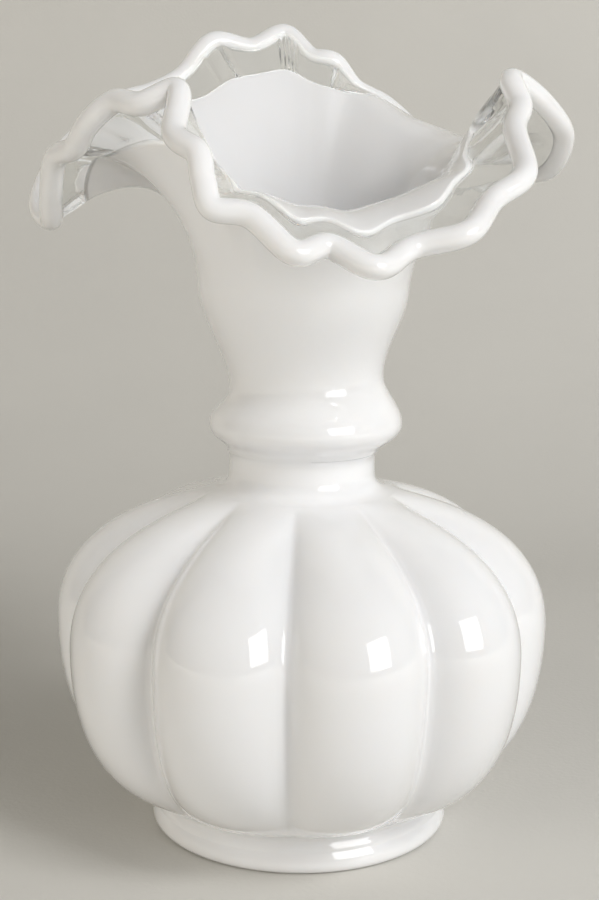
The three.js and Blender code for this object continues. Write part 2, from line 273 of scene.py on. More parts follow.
class Tree:
    """A material's nodes.

    Attributes:
        material: The material that holds them.
    """

    def __init__(self, name: str) -> None:
        """Starts a material with no nodes but its output."""
        self.material = bpy.data.materials.new(name)
        self.material.use_nodes = True
        self.nodes = self.material.node_tree.nodes
        self.nodes.clear()
        self.output = self.nodes.new("ShaderNodeOutputMaterial")

    def node(self, kind: str, settings: dict | None = None, **sockets: object) -> "Link":
        """Adds a node.

        Args:
            kind: The node's type, without the words ShaderNode.
            settings: What is set on the node itself. A ramp's stops go under "stops".
            sockets: Values or links for its inputs. An underscore stands for a space, and
                a number after "in" names a socket by its place.

        Returns:
            The node's first output that is in use.
        """
        made = self.nodes.new("ShaderNode" + kind)
        for key, value in (settings or {}).items():
            if key == "stops":
                self._set_stops(made.color_ramp, value)
            else:
                setattr(made, key, value)
        for key, value in sockets.items():
            place = int(key[2:]) if key[:2] == "in" and key[2:].isdigit() else None
            socket = made.inputs[key.replace("_", " ") if place is None else place]
            if isinstance(value, Link):
                self.material.node_tree.links.new(value.socket, socket)
            else:
                socket.default_value = value
        used = [socket for socket in made.outputs if socket.enabled]
        return Link(self, used[0], made)

    @staticmethod
    def _set_stops(ramp: bpy.types.ColorRamp, stops: list[tuple[float, float]]) -> None:
        """Gives a ramp its stops, as (place, grey level) pairs."""
        while len(ramp.elements) < len(stops):
            ramp.elements.new(1)
        for element, (place, level) in zip(ramp.elements, stops):
            element.position = place
            element.color = (level, level, level, 1)

    def mix(self, share: "Link | float", low: "Link | Colour", high: "Link | Colour") -> "Link":
        """Goes from one colour to another."""
        ends = [(*end, 1) if isinstance(end, tuple) else end for end in (low, high)]
        return self.node("Mix", {"data_type": "RGBA"}, in0=share, in6=ends[0], in7=ends[1])

    def noise(self, scale: float, detail: float = 2, seed: float = 0) -> "Link":
        """Adds a noise of the object's own space, 0 to 1."""
        place = self.node("TexCoord").output("Object")
        moved = self.node(
            "VectorMath", {"operation": "ADD"}, in0=place, in1=(seed, -seed, 2 * seed)
        )
        return self.node("TexNoise", Vector=moved, Scale=scale, Detail=detail, Roughness=0.5)

    def ramp(self, value: "Link", *stops: tuple[float, float]) -> "Link":
        """Maps a value through a ramp of grey levels."""
        return self.node("ValToRGB", {"stops": list(stops)}, Fac=value)

    def bump(self, height: "Link", distance: float, below: "Link | None" = None) -> "Link":
        """Raises a surface by a height, in metres at a height of 1."""
        under = {"Normal": below} if below else {}
        return self.node("Bump", Strength=1.0, Distance=distance, Height=height, **under)

    def surface(self, shader: "Link") -> bpy.types.Material:
        """Makes a shader the material's surface, and gives the material."""
        self.material.node_tree.links.new(shader.socket, self.output.inputs["Surface"])
        return self.material


class Link:
    """One output of a node, with arithmetic that adds Math nodes."""

    def __init__(self, tree: Tree, socket: bpy.types.NodeSocket, owner: bpy.types.Node) -> None:
        """Wraps an output socket."""
        self.tree = tree
        self.socket = socket
        self.owner = owner

    def output(self, name: str) -> "Link":
        """Gives another output of the same node."""
        return Link(self.tree, self.owner.outputs[name], self.owner)

    def _math(self, operation: str, first: object, second: object) -> "Link":
        """Adds one Math node."""
        return self.tree.node("Math", {"operation": operation}, in0=first, in1=second)

    def __add__(self, other: "Link | float") -> "Link":
        """Adds."""
        return self._math("ADD", self, other)

    def __mul__(self, other: "Link | float") -> "Link":
        """Multiplies."""
        return self._math("MULTIPLY", self, other)


# Finishes


@dataclass(frozen=True)
class MilkGlass:
    """Opaque white glass, glossy from the fire, with the faint clouds of its batch.

    Attributes:
        name: The finish's name.
        body: The glass's own white.
        cloud: The warmer white of its clouds.
        cloud_scale: How many clouds there are to a metre.
        glow: How much of the light goes into the glass before it comes back.
        glow_depth: How deep that light goes, in metres.
        gloss: The roughness of the clean surface.
        handled: The roughness where it has been handled.
        ripple: The depth of the slow ripples of the blown skin, in metres.
        orange_peel: The depth of the fine unevenness the mould leaves, in metres.
    """

    name: str
    body: Colour = (0.897, 0.9, 0.91)
    cloud: Colour = (0.885, 0.88, 0.877)
    cloud_scale: float = 22
    glow: float = 0.3
    glow_depth: float = 0.0015
    gloss: float = 0.06
    handled: float = 0.14
    ripple: float = 0.00016
    orange_peel: float = 0.000008

    def build(self) -> bpy.types.Material:
        """Makes the material."""
        tree = Tree(self.name)
        clouds = tree.ramp(tree.noise(self.cloud_scale, 4, 0.31), (0.35, 0.0), (0.7, 1.0))
        colour = tree.mix(clouds, self.body, self.cloud)
        smear = tree.ramp(tree.noise(35, 5, 0.53), (0.4, 0.0), (0.75, 1.0))
        roughness = smear * (self.handled - self.gloss) + self.gloss
        skin = tree.bump(tree.noise(55, 1.5, 0.13), self.ripple)
        skin = tree.bump(tree.noise(900, 2, 0.91), self.orange_peel, skin)
        shader = tree.node(
            "BsdfPrincipled",
            Base_Color=colour,
            Roughness=roughness,
            Normal=skin,
            IOR=1.5,
            Subsurface_Weight=self.glow,
            Subsurface_Radius=(1.0, 0.92, 0.85),
            Subsurface_Scale=self.glow_depth,
            Coat_Weight=1.0,
            Coat_Roughness=0.03,
        )
        return tree.surface(shader)


@dataclass(frozen=True)
class ClearGlass:
    """Clear glass with the waves and cords that reheating and crimping leave in it.

    Attributes:
        name: The finish's name.
        tint: The colour of light that has passed through.
        gloss: Its roughness.
        wave: The depth of its slow waves, in metres.
        cord: The depth of its fine cords, in metres.
        index: Its index of refraction.
        clarity: The share of the light that passes without meeting a trace of white.
        shade: The share that its shadow lets through.
    """

    name: str
    tint: Colour = (0.97, 0.975, 0.965)
    gloss: float = 0.015
    wave: float = 0.00012
    cord: float = 0.00001
    index: float = 1.5
    clarity: float = 0.92
    shade: float = 0.82

    def build(self) -> bpy.types.Material:
        """Makes the material."""
        tree = Tree(self.name)
        tint = tree.mix(tree.noise(60, 2, 0.2), self.tint, tuple(0.985 * c for c in self.tint))
        waves = tree.bump(tree.noise(120, 1, 0.37), self.wave)
        cords = tree.bump(tree.noise(420, 2, 0.73), self.cord, waves)
        shader = tree.node(
            "BsdfPrincipled",
            Base_Color=tint,
            Roughness=self.gloss,
            Normal=cords,
            IOR=self.index,
            Transmission_Weight=self.clarity,
        )
        light = tree.node("BsdfTransparent", Color=(*[self.shade * c for c in self.tint], 1))
        shadow = tree.node("LightPath").output("Is Shadow Ray")
        return tree.surface(tree.node("MixShader", in0=shadow, in1=shader, in2=light))


@dataclass(frozen=True)
class Paper:
    """The pale paper that the vase is photographed on.

    Attributes:
        name: The finish's name.
        colour: The paper's colour.
        grain: The depth of its grain, in metres.
    """

    name: str
    colour: Colour
    grain: float = 0.0001

    def build(self) -> bpy.types.Material:
        """Makes the material."""
        tree = Tree(self.name)
        mottle = tree.ramp(tree.noise(9, 4, 0.41), (0.3, 0.0), (0.7, 1.0))
        colour = tree.mix(mottle, self.colour, tuple(0.965 * c for c in self.colour))
        shader = tree.node(
            "BsdfPrincipled",
            Base_Color=colour,
            Roughness=0.9,
            Normal=tree.bump(tree.noise(700, 3, 0.6), self.grain),
            Specular_IOR_Level=0.1,
        )
        return tree.surface(shader)


# The vase's shape


@dataclass
class Foot:
    """The disc that the vase stands on.

    Attributes:
        radius: Its radius.
        height: Its height.
        top_round: How far inside its edge the bowl stands.
        bottom_round: The radius of its bottom edge.
        rolls: The heights, in millimetres, and the tilts, in degrees, of its side, which
            has two low rolls with a tooled line between them.
        lap: How far its glass runs out under the bowl past the seat, and how far up.
        shoulder_leave: How far the shoulder keeps the side's tilt.
        shoulder_arrive: How far it runs level, and rises, where it reaches the bowl.
        recess_radius: The radius of the recess underneath.
        recess_depth: How deep the recess is.
        recess_draft: How far the recess's wall slopes out.
        scar_radius: The radius of the ground mark where the iron was broken off.
        sides: How many sides its circles have.
        arc_steps: How many points each rounded edge has.
        side_steps: How many points the side has.
    """

    radius: float = 37 * MM
    height: float = 8.8 * MM
    top_round: float = 3.5 * MM
    bottom_round: float = 2 * MM
    rolls: tuple[tuple[float, float], ...] = ((2, 0), (3.2, 14), (5.0, 30), (5.3, 10), (7.0, 32))
    lap: tuple[float, float] = (4.1 * MM, 1.35 * MM)
    shoulder_leave: float = 1.1 * MM
    shoulder_arrive: tuple[float, float] = (2 * MM, 0.7 * MM)
    recess_radius: float = 29 * MM
    recess_depth: float = 2.5 * MM
    recess_draft: float = 1 * MM
    scar_radius: float = 11 * MM
    sides: int = 220
    arc_steps: int = 9
    side_steps: int = 40

    @property
    def seat(self) -> float:
        """The radius of the flat top that the bowl stands on."""
        return self.radius - self.top_round

    def profile(self) -> np.ndarray:
        """Gives the outline from the middle of the underside to the middle of the top."""
        depth = self.recess_depth
        scar = self.scar_radius
        soft = self.recess_draft
        recess = self.recess_radius
        inner = recess + soft
        under = [
            (scar - soft, depth + 0.5 * soft),
            (scar, depth + 0.3 * soft),
            (scar + soft, depth),
            (recess - 2 * soft, depth),
            (recess - soft, depth - 0.1 * soft),
            (recess, depth - 0.5 * soft),
            (inner - 0.3 * soft, 0.4 * soft),
            (inner, 0.1 * soft),
            (inner + soft, 0),
        ]
        edge = self.bottom_round
        low = arc((self.radius - edge, edge), edge, -math.pi / 2, 0, self.arc_steps)
        side = self.side()
        tilt = math.radians(self.rolls[-1][1])
        above = side[-1] + self.shoulder_leave * np.array([-math.sin(tilt), math.cos(tilt)])
        end = (self.seat + self.lap[0], self.height + self.lap[1])
        under_bowl = (end[0] - self.shoulder_arrive[0], end[1] - self.shoulder_arrive[1])
        t = np.linspace(0, 1, self.arc_steps)
        high = bezier([tuple(side[-1]), tuple(above), under_bowl, end], t)
        flat = [(self.seat, self.height + self.lap[1] / 2)]
        flat += [(self.seat * share, self.height) for share in (0.8, 0.5, 0.2)]
        return np.concatenate([under, low, side[1:], high[1:], flat])

    def side(self) -> np.ndarray:
        """Gives the outline of the side, from the bottom edge to the shoulder."""
        heights, tilts = np.array(self.rolls).T
        height = np.linspace(heights[0], heights[-1], self.side_steps)
        slope = np.tan(np.radians(np.interp(height, heights, tilts)))
        steps = (slope[1:] + slope[:-1]) / 2 * np.diff(height)
        inwards = np.concatenate([[0], np.cumsum(steps)])
        return np.stack([self.radius - inwards * MM, height * MM], -1)

    def build(self, finish: bpy.types.Material) -> None:
        """Makes the piece."""
        azimuths = all_round(self.sides, 2 * math.pi)
        bm = bmesh.new()
        rows = ring_grid(bm, lathe_sections(self.profile(), azimuths), False)
        cap(bm, [row[0] for row in rows], (0, 0, self.recess_depth + 0.5 * self.recess_draft))
        cap(bm, [row[-1] for row in rows], (0, 0, self.height))
        settle(finished("foot_glass", bm, finish, BLOWN), Slot.MILK, "foot")


@dataclass
class Bowl:
    """The melon-ribbed bowl, up to the top of its neck.

    Attributes:
        foot: What it stands on.
        radius: The radius over the rib crowns.
        equator_rise: From the foot up to the widest place.
        shoulder_rise: From there up to the shoulder.
        neck_rise: From the shoulder up to the neck's end.
        neck_radius: The radius of the neck.
        neck_fillet: How far the fillet between shoulder and neck reaches out, and up.
        neck_pull: How far it keeps the shoulder's slope, and the neck's.
        crease_round: The radius of the crease between the neck and the collar on it.
        crease_turn: How far the outline turns in the crease, half of it above the seam.
        wall: The thickness of the glass.
        underside: How steeply the glass leaves the foot.
        underside_reach: How far it keeps that slope.
        lower_reach: How far the outline stays upright below the widest place.
        upper_reach: How far it stays upright above it.
        shoulder_reach: How far the shoulder keeps its slope.
        shoulder_slope: How steeply the shoulder rises to the fillet.
        ribs: How many ribs there are.
        rib_depth: The depth of the grooves between them.
        rib_depth_inside: Their depth on the inside.
        rib_roundness: How round each rib is across, 0 to 1.
        rib_start: How far from the foot they reach their depth, as a share of the way to
            the widest place.
        rib_fade_foot: How suddenly the ribs fade at the foot.
        rib_fade_neck: How suddenly they fade at the neck.
        groove_softness: How far a groove's bottom is rounded, as a share of half a rib.
        first_groove: The azimuth of the first groove.
        columns_per_rib: How many columns of faces each rib has.
        low_steps: How many points the crown line has below the widest place.
        high_steps: How many it has above it.
        fillet_steps: How many the fillet has.
        crease_steps: How many the crease has on each side of the seam.
    """

    foot: Foot
    radius: float = 60.8 * MM
    equator_rise: float = 42 * MM
    shoulder_rise: float = 33.3 * MM
    neck_rise: float = 9.7 * MM
    neck_radius: float = 17.7 * MM
    neck_fillet: tuple[float, float] = (5.3 * MM, 4.9 * MM)
    neck_pull: tuple[float, float] = (3.4 * MM, 3.2 * MM)
    crease_round: float = 5 * MM
    crease_turn: float = math.radians(50)
    wall: float = 3.8 * MM
    underside: float = math.radians(12.5)
    underside_reach: float = 20.4 * MM
    lower_reach: float = 20.3 * MM
    upper_reach: float = 18.9 * MM
    shoulder_reach: float = 21.9 * MM
    shoulder_slope: float = math.radians(10.8)
    ribs: int = 10
    rib_depth: float = 7.5 * MM
    rib_depth_inside: float = 4 * MM
    rib_roundness: float = 0.88
    rib_start: float = 0.2
    rib_fade_foot: float = 1.1
    rib_fade_neck: float = 0.8
    groove_softness: float = 0.07
    first_groove: float = math.radians(15)
    columns_per_rib: int = 28
    low_steps: int = 44
    high_steps: int = 38
    fillet_steps: int = 18
    crease_steps: int = 8

    @property
    def equator(self) -> float:
        """The height of the widest place."""
        return self.foot.height + self.equator_rise

    @property
    def shoulder(self) -> float:
        """The height of the shoulder."""
        return self.equator + self.shoulder_rise

    @property
    def seam(self) -> float:
        """The height of the neck's end, where the trumpet begins."""
        return self.shoulder + self.neck_rise

    @property
    def crease_hub(self) -> tuple[float, float]:
        """The radius and height of the middle of the crease's arc."""
        drop = self.crease_round * math.sin(self.crease_turn / 2)
        return self.neck_radius + self.crease_round, self.seam - drop

    def line(self) -> tuple[np.ndarray, np.ndarray, np.ndarray]:
        """Gives the crown line of a rib from the foot to the seam.

        Returns:
            Its points as (radius, height), their outward normals, and how ribbed the
            glass is at each, from 0 to 1.
        """
        seat, base = self.foot.seat, self.foot.height
        reach = self.underside_reach
        slope = (seat + reach * math.cos(self.underside), base + reach * math.sin(self.underside))
        widest = (self.radius, self.equator)
        low_t = np.linspace(0, 1, self.low_steps)
        below = (self.radius, self.equator - self.lower_reach)
        low = bezier([(seat, base), slope, below, widest], low_t)
        tilt, narrow = self.shoulder_slope, self.neck_radius
        end = (narrow + self.neck_fillet[0], self.shoulder)
        up = self.shoulder + self.neck_fillet[1]
        leave, arrive = self.neck_pull
        rising = (end[0] - leave * math.cos(tilt), end[1] + leave * math.sin(tilt))
        reach = self.shoulder_reach
        sloped = (end[0] + reach * math.cos(tilt), end[1] - reach * math.sin(tilt))
        high_t = np.linspace(0, 1, self.high_steps)[1:]
        above = (self.radius, self.equator + self.upper_reach)
        high = bezier([widest, above, sloped, end], high_t)
        turn_up = [end, rising, (narrow, up - arrive), (narrow, up)]
        fillet = bezier(turn_up, np.linspace(0, 1, self.fillet_steps))[1:]
        half = math.pi - self.crease_turn / 2
        neck = arc(self.crease_hub, self.crease_round, math.pi, half, self.crease_steps)
        points = np.concatenate([low, high, fillet, neck])
        ribbed = np.concatenate([
            np.sin(math.pi / 2 * low_t) ** self.rib_fade_foot * smooth(low_t / self.rib_start),
            np.cos(math.pi / 2 * high_t).clip(0) ** self.rib_fade_neck,
            np.zeros(len(fillet) + len(neck)),
        ])
        return points, side_normals(points), ribbed

    def bulge(self, azimuth: np.ndarray) -> np.ndarray:
        """Says how far round its bulge a rib stands, 0 in a groove and 1 on a crown."""
        turn = (azimuth - self.first_groove) * self.ribs / (2 * math.pi)
        across = np.abs(2 * (turn % 1) - 1)
        soft = 1 - np.hypot(1 - across, self.groove_softness)

        def arch(place: np.ndarray) -> np.ndarray:
            return np.sqrt(1 - (self.rib_roundness * place) ** 2)

        floor = arch(np.array(1 - self.groove_softness))
        crown = arch(np.array(1 - math.hypot(1, self.groove_softness)))
        return (arch(soft) - floor) / (crown - floor)

    def rings(self, depth: np.ndarray, crown_depth: np.ndarray) -> np.ndarray:
        """Draws the crown line in along its normals, all the way round.

        Args:
            depth: How far the grooves are drawn in at each station.
            crown_depth: How far the crowns are.

        Returns:
            The points, by azimuth, by station, by axis.
        """
        points, normals, _ = self.line()
        count = self.ribs * self.columns_per_rib
        azimuth = self.first_groove + all_round(count, 2 * math.pi)[:, None]
        inset = depth + (crown_depth - depth) * self.bulge(azimuth)
        radius = points[:, 0] - normals[:, 0] * inset
        height = points[:, 1] - normals[:, 1] * inset
        return np.stack([radius * np.cos(azimuth), radius * np.sin(azimuth), height], -1)

    def build(self, finish: bpy.types.Material) -> None:
        """Makes the piece."""
        ribbed = self.line()[2]
        outside = self.rings(self.rib_depth * ribbed, 0 * ribbed)
        groove = self.wall + self.rib_depth * ribbed
        inside = self.rings(groove, groove - self.rib_depth_inside * ribbed)
        sections = np.concatenate([outside, inside[:, ::-1]], 1)
        bm = bmesh.new()
        rows = ring_grid(bm, sections, False)
        cap(bm, [row[0] for row in rows], (0, 0, self.foot.height))
        floor = float(inside[:, 0, 2].mean())
        cap(bm, [row[-1] for row in rows], (0, 0, floor))
        settle(finished("ribbed_bowl_glass", bm, finish, BLOWN), Slot.MILK, "ribbed_bowl")


# The rim's centre line: azimuth in degrees, then how far it reaches past the rim's reach
# and how far it rises over the rim's rise, both in millimetres.
RIM_KNOTS = (
    (2.5, -1, 10),
    (13, 8, 3),
    (22, 11.3, -4),
    (30, 12.6, -6.5),
    (39, 9, -5),
    (48, 11, -2.5),
    (59, 6, 2),
    (69.5, 5.2, 11),
    (77, 2, 15.5),
    (82, -3, 22),
    (88.5, -3, 23.5),
    (95.5, 0.2, 29.5),
    (105.5, -3, 25.5),
    (117.5, -4, 26.5),
    (127, -4, 17.5),
    (136.5, -3, 13),
    (146, 0.5, 10),
    (155, 2, 4.5),
    (165, 6.5, -5),
    (174.5, 7, -15),
    (181, 3, -18.5),
    (187, 2.5, -13),
    (195, 1.5, -4.5),
    (202.5, -1.5, -2),
    (210, -2.5, 3),
    (217.5, -5.5, 7.5),
    (226.5, -6.5, 7),
    (235, -10.5, 9.5),
    (240, -3.5, 0.5),
    (247, -1.5, -3.5),
    (249, 0, -9),
    (251.5, 1, -14.5),
    (259, -1, -16),
    (268, 1, -23),
    (275.5, -3, -22),
    (285, 0.6, -26),
    (295.5, -5, -22.5),
    (306.5, 0.5, -19),
    (316, -1.5, -12.5),
    (325.5, 0.5, -7),
    (336, -6, 2.5),
    (345, -6.5, 8),
    (352, -9, 14),
)


@dataclass
class Mouth:
    """The surface of the trumpet's mouth, from the throat to the rim.

    Attributes:
        throat: The height of the throat.
        throat_radius: Its outer radius.
        throat_spread: How fast it widens there.
        wall: The thickness of the glass.
        rim_reach: The rim's usual distance from the axis.
        rim_rise: The rim's usual height over the throat.
        throat_pull: How far the glass keeps the throat's direction, as a share of its way.
        lobe_pull: How far a low lobe's edge keeps its own direction.
        fold_pull: How far a high fold's edge does.
        lobe_slope: The slope at a low lobe's edge.
        fold_slope: The slope at a high fold's edge.
        lean: How much higher the mouth is at the back than in the middle.
        ruffle: The height between lobes and folds.
        crimp_power: How near the rim the crimps stay.
        calm: How often the rim is relaxed for the calm glass deep in the mouth.
        ruffle_start: The place from which the glass follows the rim's own ruffle.
        rim: The centre line of the white edge.
        ruffled: The rim before it is crimped.
        settled: The rim that the calm glass deep in the mouth aims at.
    """

    throat: float
    throat_radius: float = 25.3 * MM
    throat_spread: float = 0.09
    wall: float = 3 * MM
    rim_reach: float = 57 * MM
    rim_rise: float = 34.8 * MM
    throat_pull: float = 0.36
    lobe_pull: float = 32 * MM
    fold_pull: float = 6.5 * MM
    lobe_slope: float = math.radians(-34)
    fold_slope: float = math.radians(-5)
    lean: float = 13.4 * MM
    ruffle: float = 26.5 * MM
    crimp_power: float = 4.5
    calm: int = 5
    ruffle_start: float = 0.85
    rim: ClosedCurve = field(init=False)
    ruffled: ClosedCurve = field(init=False)
    settled: ClosedCurve = field(init=False)

    def __post_init__(self) -> None:
        """Lays the rim's knots out."""
        azimuth, out, up = np.array(RIM_KNOTS).T
        azimuth = np.radians(azimuth)
        reach = self.rim_reach + out * MM
        height = self.throat + self.rim_rise + up * MM
        knots = np.stack([reach * np.cos(azimuth), reach * np.sin(azimuth), height], -1)
        self.rim = ClosedCurve(knots)
        self.ruffled = self.rim.relaxed()
        self.settled = self.ruffled
        for _ in range(self.calm):
            self.settled = self.settled.relaxed()

    def throat_point(self, inset: float) -> tuple[float, float]:
        """Gives the radius and height of a place in the throat's wall."""
        across = 1 / math.hypot(1, self.throat_spread)
        return (
            self.throat_radius - inset * across,
            self.throat + inset * self.throat_spread * across,
        )

    def along(self) -> tuple[float, float]:
        """Gives the direction in which the throat's wall runs up."""
        length = math.hypot(1, self.throat_spread)
        return self.throat_spread / length, 1 / length

    def fold_share(self, place: np.ndarray) -> np.ndarray:
        """Says how far a place on the ruffle is from a low lobe, 0, to a high fold, 1."""
        round_back = place[..., 1] / np.hypot(place[..., 0], place[..., 1])
        middle = self.throat + self.rim_rise + self.lean * round_back
        return smooth(0.5 + (place[..., 2] - middle) / self.ruffle)

    def before_crimping(self, u: np.ndarray, t: np.ndarray) -> np.ndarray:
        """Gives the middle of the glass before it is crimped.

        Args:
            u: Places round the rim.
            t: Places from the throat to the rim.

        Returns:
            The points.
        """
        u, t = np.broadcast_arrays(u, t)
        edge = self.ruffled.at(u)
        ruffle = smooth(t / self.ruffle_start)[..., None]
        aim = self.settled.at(u) * (1 - ruffle) + edge * ruffle
        reach = np.hypot(aim[..., 0], aim[..., 1])
        share = self.fold_share(aim)
        slope = self.lobe_slope + (self.fold_slope - self.lobe_slope) * share
        pull = self.lobe_pull + (self.fold_pull - self.lobe_pull) * share
        start = self.throat_point(self.wall / 2)
        keep = self.throat_pull * np.hypot(reach - start[0], aim[..., 2] - start[1])
        along = self.along()
        line = bezier(
            [
                start,
                (start[0] + along[0] * keep, start[1] + along[1] * keep),
                (reach - pull * np.cos(slope), aim[..., 2] - pull * np.sin(slope)),
                (reach, aim[..., 2]),
            ],
            t,
        )
        side = edge[..., :2] / np.linalg.norm(edge[..., :2], axis=-1, keepdims=True)
        flat = side * line[..., :1]
        return np.concatenate([flat, line[..., 1:]], -1)

    def at(self, u: np.ndarray, t: np.ndarray) -> np.ndarray:
        """Gives the middle of the glass once it is crimped."""
        u, t = np.broadcast_arrays(u, t)
        crimp = self.rim.at(u) - self.ruffled.at(u)
        share = np.clip(t, 0, None) ** self.crimp_power
        return self.before_crimping(u, t) + crimp * share[..., None]

    def normal(self, u: np.ndarray, t: np.ndarray) -> np.ndarray:
        """Gives the normal on the side that faces outwards and down."""
        u, t = np.broadcast_arrays(u, t)
        step_u = 0.2 / len(RIM_KNOTS)
        step_t = 0.04
        high = np.minimum(t + step_t / 2, 1)
        turn = self.at(u + step_u, t) - self.at(u - step_u, t)
        up = self.at(u, high) - self.at(u, high - step_t)
        return unit(np.cross(turn, up))

    def below_rim(self, u: np.ndarray, distance: np.ndarray) -> np.ndarray:
        """Finds the places t that lie a distance short of the rim, along the glass."""
        samples = 161
        t = np.linspace(1, 0, samples)
        line = self.before_crimping(u[:, None], t[None])
        steps = np.linalg.norm(np.diff(line, axis=1), axis=-1)
        walked = np.concatenate([np.zeros((len(u), 1)), np.cumsum(steps, 1)], 1)
        return np.array([np.interp(d, w, t) for d, w in zip(distance, walked)])

    def rim_frame(self, u: np.ndarray) -> tuple[np.ndarray, np.ndarray]:
        """Gives the directions at the rim out of the glass and on past its edge."""
        step = 1e-4
        run = unit(self.rim.at(u + step) - self.rim.at(u - step))
        normal = self.normal(u, np.ones_like(u))
        normal = unit(normal - run * (normal * run).sum(-1, keepdims=True))
        return normal, np.cross(normal, run)


@dataclass
class Trumpet:
    """The white glass from the collar on the neck to the clear band.

    Attributes:
        bowl: What it stands on.
        collar_radius: The radius of the collar.
        collar_rise: From the neck's end up to the collar's widest place.
        collar_reach: How far the collar stays upright above that.
        lean: How far the glass over the collar stands off the axis, to the right.
        lean_place: How near the collar it leans most. A lower number is nearer.
        waist_radius: The radius of the waist over the collar.
        waist_reach: How far the waist stays upright below its narrowest place.
        waist_rise: From the collar up to the waist.
        waist_tilt: How much higher the waist is at the right than in the middle.
        throat_rise: From the waist up to the throat.
        clear_band: The width of the clear band, which the white glass leaves free.
        clear_band_swing: How much wider it is on the high folds.
        clear_band_dips: Where it is narrower, in knots, how much, and over how many knots.
        tip: How far the white glass takes to round off inside the clear band.
        tip_end: How full the glass is at the very end of the tip.
        columns: How many columns of faces it has.
        collar_steps: How many points each curve from collar to throat has.
        mouth_steps: How many the mouth has up to the tip.
        tip_steps: How many the tip has.
        mouth: The mouth on its throat.
    """

    bowl: Bowl
    collar_radius: float = 23.4 * MM
    collar_rise: float = 6.6 * MM
    collar_reach: float = 4.4 * MM
    lean: float = 0.9 * MM
    lean_place: float = 0.6
    waist_radius: float = 18.6 * MM
    waist_reach: float = 4 * MM
    waist_rise: float = 10.2 * MM
    waist_tilt: float = 1.5 * MM
    throat_rise: float = 21.9 * MM
    clear_band: float = 11 * MM
    clear_band_swing: float = 2 * MM
    clear_band_dips: tuple[tuple[float, float, float], ...] = ((23.4, 3.3 * MM, 1.7),)
    tip: float = 0.9 * MM
    tip_end: float = 0.05
    columns: int = 12 * len(RIM_KNOTS)
    collar_steps: int = 14
    mouth_steps: int = 40
    tip_steps: int = 8
    mouth: Mouth = field(init=False)

    def __post_init__(self) -> None:
        """Sets the mouth on the throat."""
        self.mouth = Mouth(self.waist + self.throat_rise)

    @property
    def collar(self) -> float:
        """The height of the collar's widest place."""
        return self.bowl.seam + self.collar_rise

    @property
    def waist(self) -> float:
        """The height of the waist."""
        return self.collar + self.waist_rise

    def outside(self, to_right: np.ndarray) -> np.ndarray:
        """Gives the outline from the neck's end to the throat.

        Args:
            to_right: The side that each column stands on, 1 at the right and -1 at the left.

        Returns:
            The points as (radius, height), by column and by place.
        """
        bowl, mouth = self.bowl, self.mouth
        turn = bowl.crease_turn
        crease = arc(
            bowl.crease_hub,
            bowl.crease_round,
            math.pi - turn / 2,
            math.pi - turn,
            bowl.crease_steps,
        )
        radius, height = crease[-1]
        pull = (self.collar_radius - radius) / 2
        leave = (radius + pull * math.sin(turn), height + pull * math.cos(turn))
        under = (self.collar_radius, (height + self.collar) / 2)
        over = (self.collar_radius, self.collar + self.collar_reach)
        collar = (self.collar_radius, self.collar)
        waist = self.waist + self.waist_tilt * to_right[:, None]
        widen = (mouth.throat - waist) / 3
        before = (mouth.throat_radius - mouth.throat_spread * widen, mouth.throat - widen)
        count = len(to_right)
        t = np.broadcast_to(np.linspace(0, 1, self.collar_steps), (count, self.collar_steps))
        slim = self.waist_radius
        throat = (mouth.throat_radius, mouth.throat)
        parts = [
            np.broadcast_to(crease[:-1], (count, bowl.crease_steps - 1, 2)),
            bezier([(radius, height), leave, under, collar], t),
            bezier([collar, over, (slim, waist - self.waist_reach), (slim, waist)], t)[:, 1:],
            bezier([(slim, waist), (slim, waist + widen), before, throat], t)[:, 1:],
        ]
        return np.concatenate(parts, 1)

    def inside(self) -> np.ndarray:
        """Gives the bore from the throat down to the neck's end, as (radius, height)."""
        top = self.mouth.throat_point(self.mouth.wall)
        rise = top[1] - self.bowl.seam
        along = self.mouth.along()
        bore = self.bowl.neck_radius - self.bowl.wall
        t = np.linspace(0, 1, 2 * self.collar_steps)
        under = (top[0] - along[0] * rise / 3, top[1] - along[1] * rise / 3)
        middle = (bore, self.bowl.seam + rise / 2)
        return bezier([top, under, middle, (bore, self.bowl.seam)], t)

    def white_end(self, u: np.ndarray, short: float = 0) -> np.ndarray:
        """Gives the place t on each column where the white glass ends.

        Args:
            u: The columns' places round the rim.
            short: How far short of the end the place is to be.

        Returns:
            The places.
        """
        share = self.mouth.fold_share(self.mouth.ruffled.at(u))
        band = self.clear_band + self.clear_band_swing * (2 * share - 1)
        for knot, depth, spread in self.clear_band_dips:
            band = band - depth * np.exp(-(((u * len(RIM_KNOTS) - knot) / spread) ** 2))
        return self.mouth.below_rim(u, band + short)

